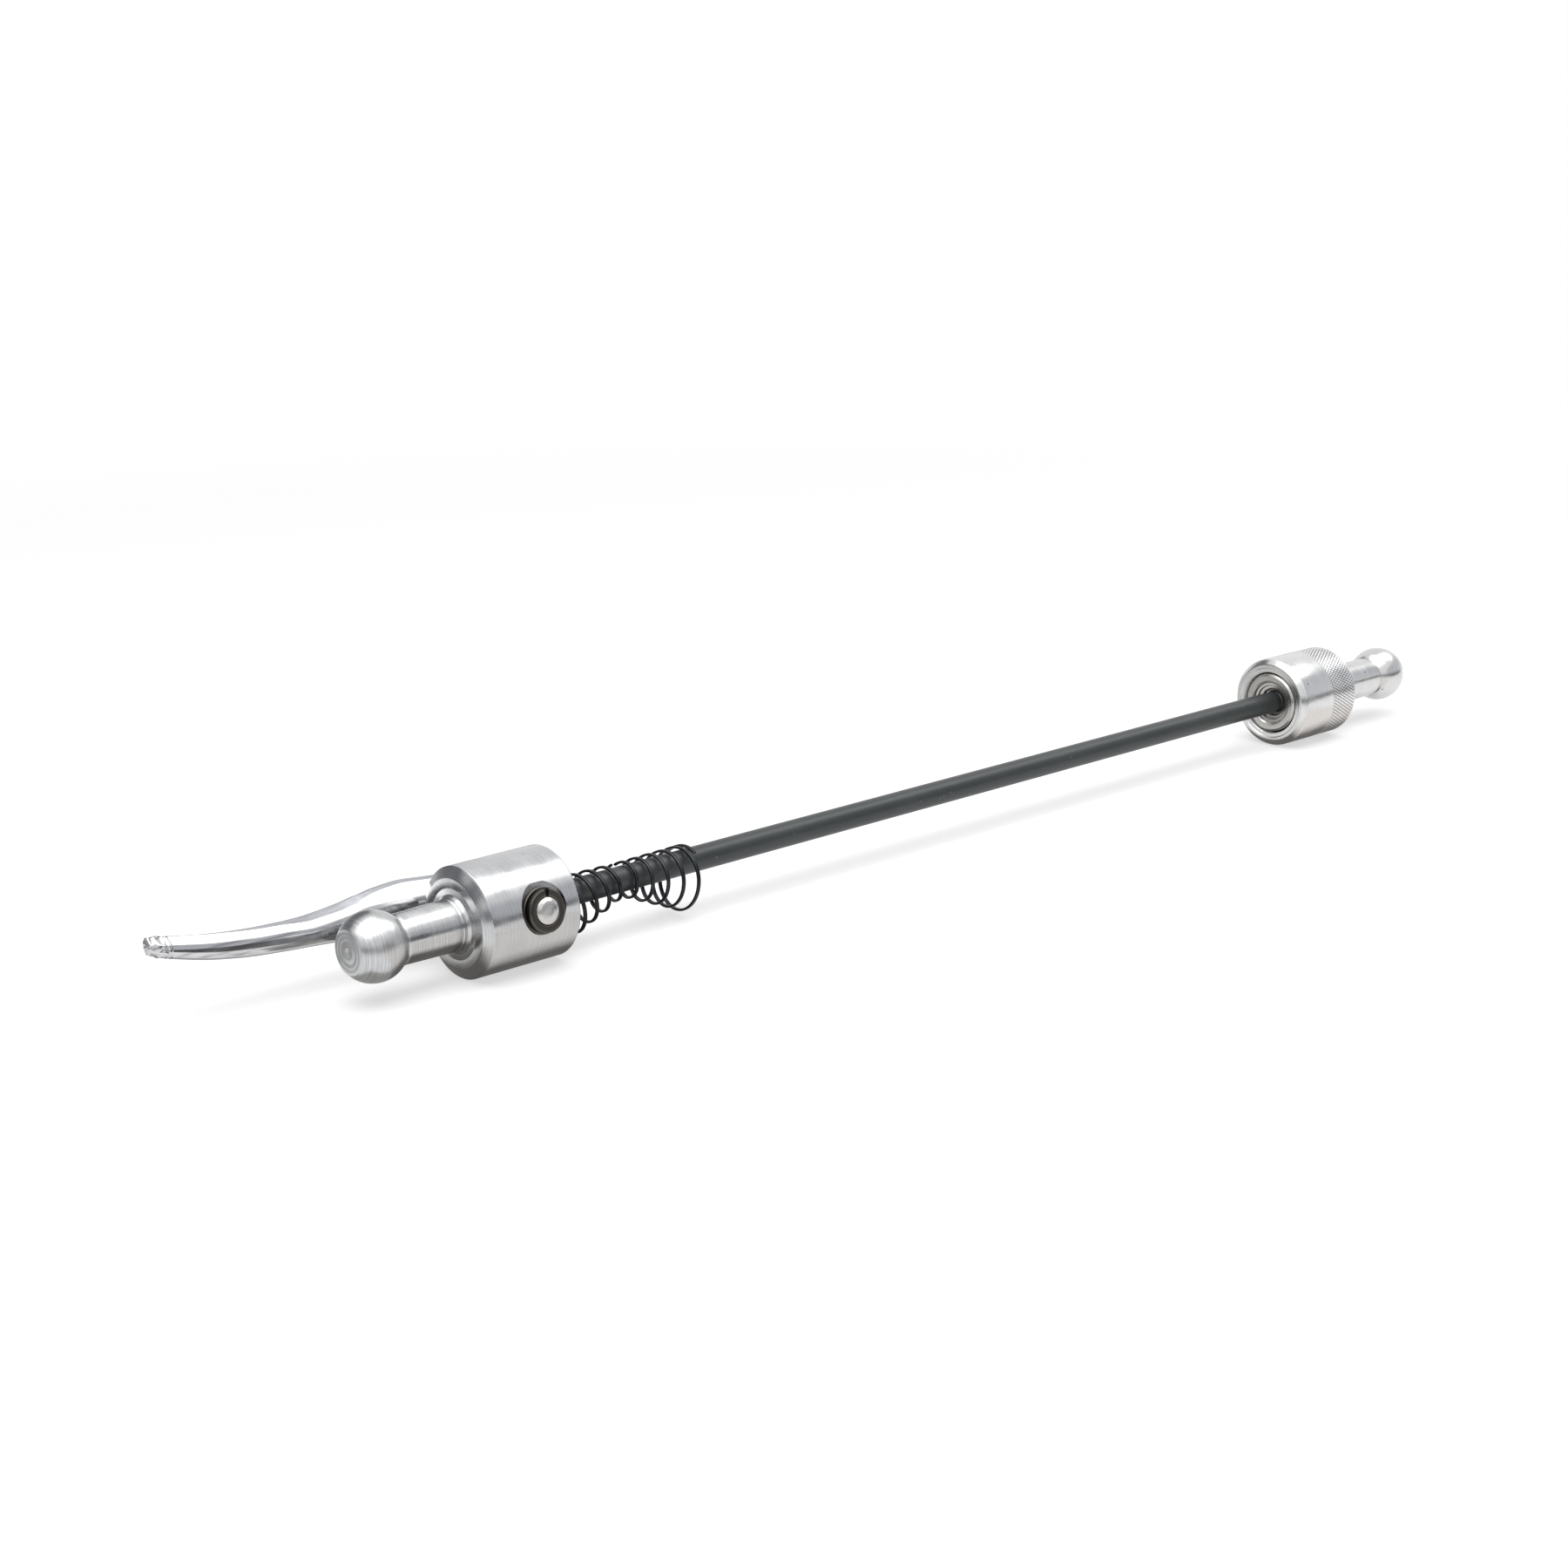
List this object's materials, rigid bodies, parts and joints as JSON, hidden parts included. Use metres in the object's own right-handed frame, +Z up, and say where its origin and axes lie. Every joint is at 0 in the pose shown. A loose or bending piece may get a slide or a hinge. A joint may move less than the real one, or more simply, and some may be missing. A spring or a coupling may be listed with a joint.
{
  "type": "quick release skewer",
  "caption": "Internal-cam quick release skewer whose lever housing and nut each end in a ball stud, with conical springs on the rod.",
  "frame": {"origin": "centre of the housing's clamping face, on the rod's axis", "axes": "+X along the rod from the housing to the nut, +Y to the lever's side, +Z up as it rests; the mechanism lies rolled 12 degrees about X"},
  "size_m": [0.3434, 0.0303, 0.021],
  "materials": {
    "turned_aluminium": "bright turned",
    "rod_steel": "dark satin",
    "lever_metal": "polished zinc plate",
    "shaft_steel": "bright turned",
    "washer_steel": "dark oiled",
    "thrust_steel": "plated",
    "guide_brass": "plain turned",
    "bush_steel": "phosphated",
    "lock_nylon": "natural nylon",
    "spring_steel": "dark oxide"
  },
  "bodies": {
    "root": {"cam_housing": "turned_aluminium", "rod_guide_bush": "guide_brass", "friction_washer": "thrust_steel", "backing_washer": "washer_steel", "split_lock_washer": "washer_steel"},
    "lever": {"lever": "lever_metal", "cam_shaft": "shaft_steel"},
    "rod": {"skewer_rod": "rod_steel"},
    "lever_spring": {"lever_spring": "spring_steel"},
    "nut_spring": {"nut_spring": "spring_steel"},
    "nut_carrier": {"nylon_lock_ring": "lock_nylon"},
    "nut": {"adjusting_nut": "turned_aluminium", "thread_bush": "bush_steel"}
  },
  "joints": [
    {"name": "lever_swing", "type": "hinge", "parent": "root", "child": "lever", "pos_m": [-0.0083, 0, 0], "axis": [0, 0.9781, -0.2079], "range_deg": [-90, 90]},
    {"name": "rod_draw", "type": "slide", "parent": "root", "child": "rod", "axis": [1, 0, 0], "range_m": [-0.0011, 0.0011]},
    {"name": "nut_travel", "type": "slide", "parent": "rod", "child": "nut_carrier", "axis": [1, 0, 0], "range_m": [-0.0024, 0.008]},
    {"name": "nut_spin", "type": "hinge", "parent": "nut_carrier", "child": "nut", "pos_m": [0.22, 0, 0], "axis": [1, 0, 0], "range_deg": [-1080, 3600]},
    {"name": "lever_spring_slide", "type": "slide", "parent": "root", "child": "lever_spring", "axis": [1, 0, 0], "range_m": [0, 0.09]},
    {"name": "nut_spring_slide", "type": "slide", "parent": "lever_spring", "child": "nut_spring", "axis": [1, 0, 0], "range_m": [0, 0.09]}
  ],
  "couplings": [
    {"joint": "rod_draw", "follows": "lever_swing", "m_per_rad": -0.0007},
    {"joint": "nut_travel", "follows": "nut_spin", "m_per_rad": 0.00012732}
  ]
}
